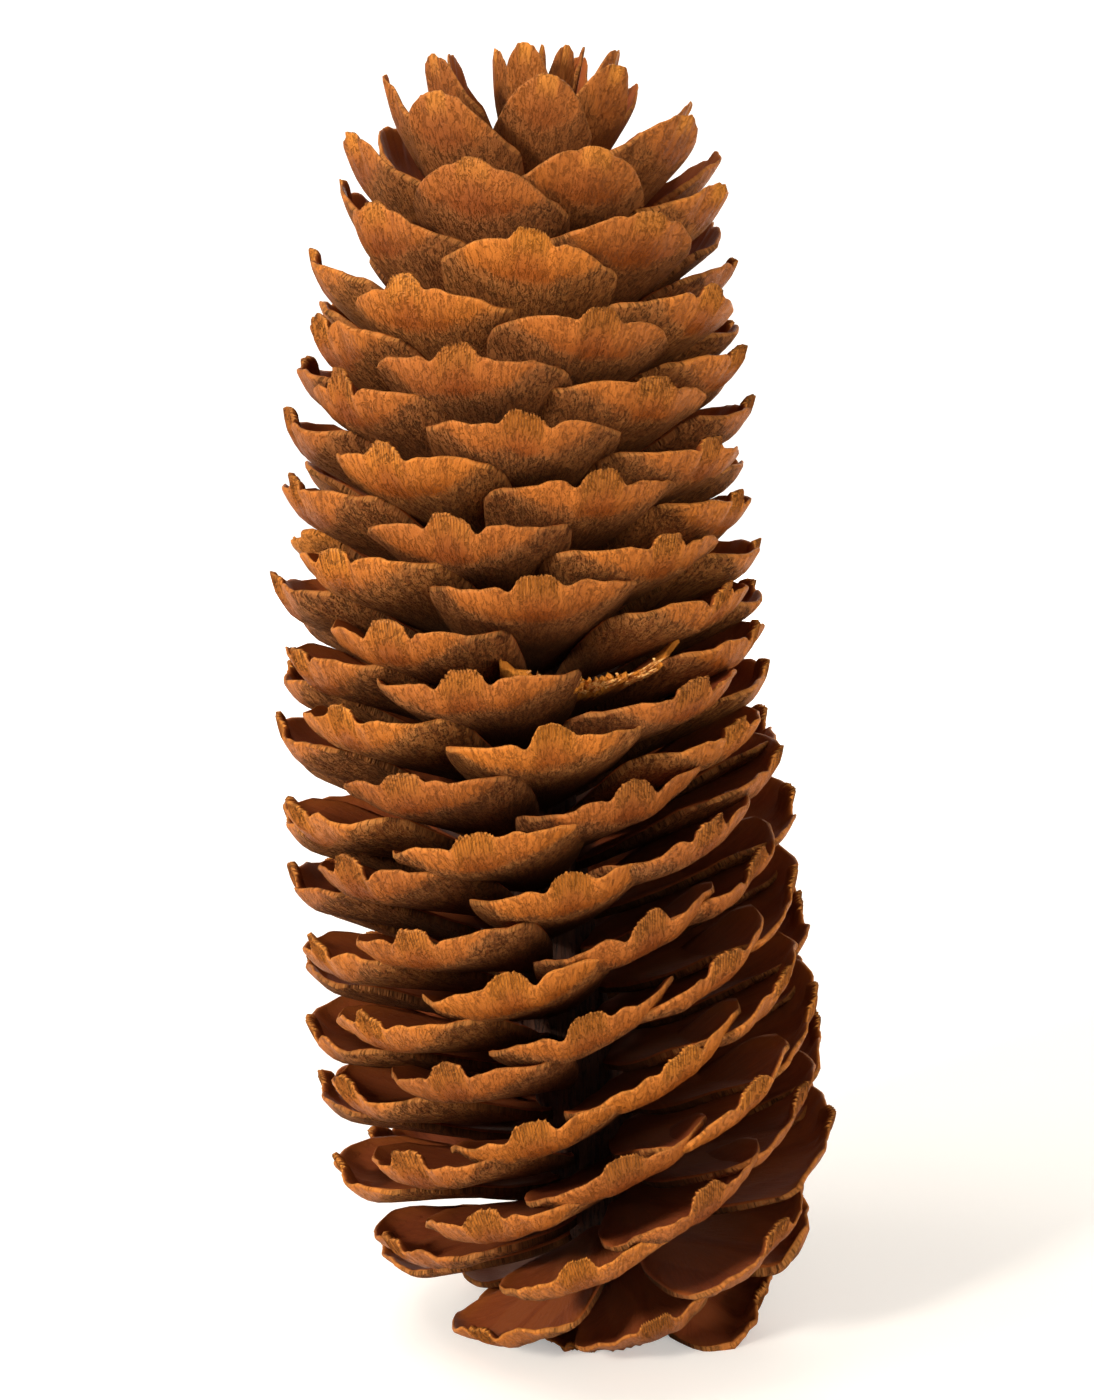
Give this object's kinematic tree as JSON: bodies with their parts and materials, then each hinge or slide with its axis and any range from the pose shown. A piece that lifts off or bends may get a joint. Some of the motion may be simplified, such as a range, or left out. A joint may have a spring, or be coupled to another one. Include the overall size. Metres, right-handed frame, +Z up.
{
  "type": "opened spruce cone",
  "caption": "Tall, slightly bowed spruce cone with open woody scales set in a spiral round a central axis, standing on its stalk end.",
  "frame": {"origin": "middle of the flat end of the stalk stub, which the cone stands on together with its lowest scales", "axes": "+Z up along the cone towards its apex; the middle of the cone bows towards -X; -Y is the side that the picture shows"},
  "size_m": [0.0584, 0.0553, 0.1328],
  "materials": {
    "scale_wood": "dry woody scale, satin orange-brown towards its tip and rough grey-brown towards its root"
  },
  "bodies": {
    "root": {"cone": "scale_wood"}
  },
  "joints": []
}
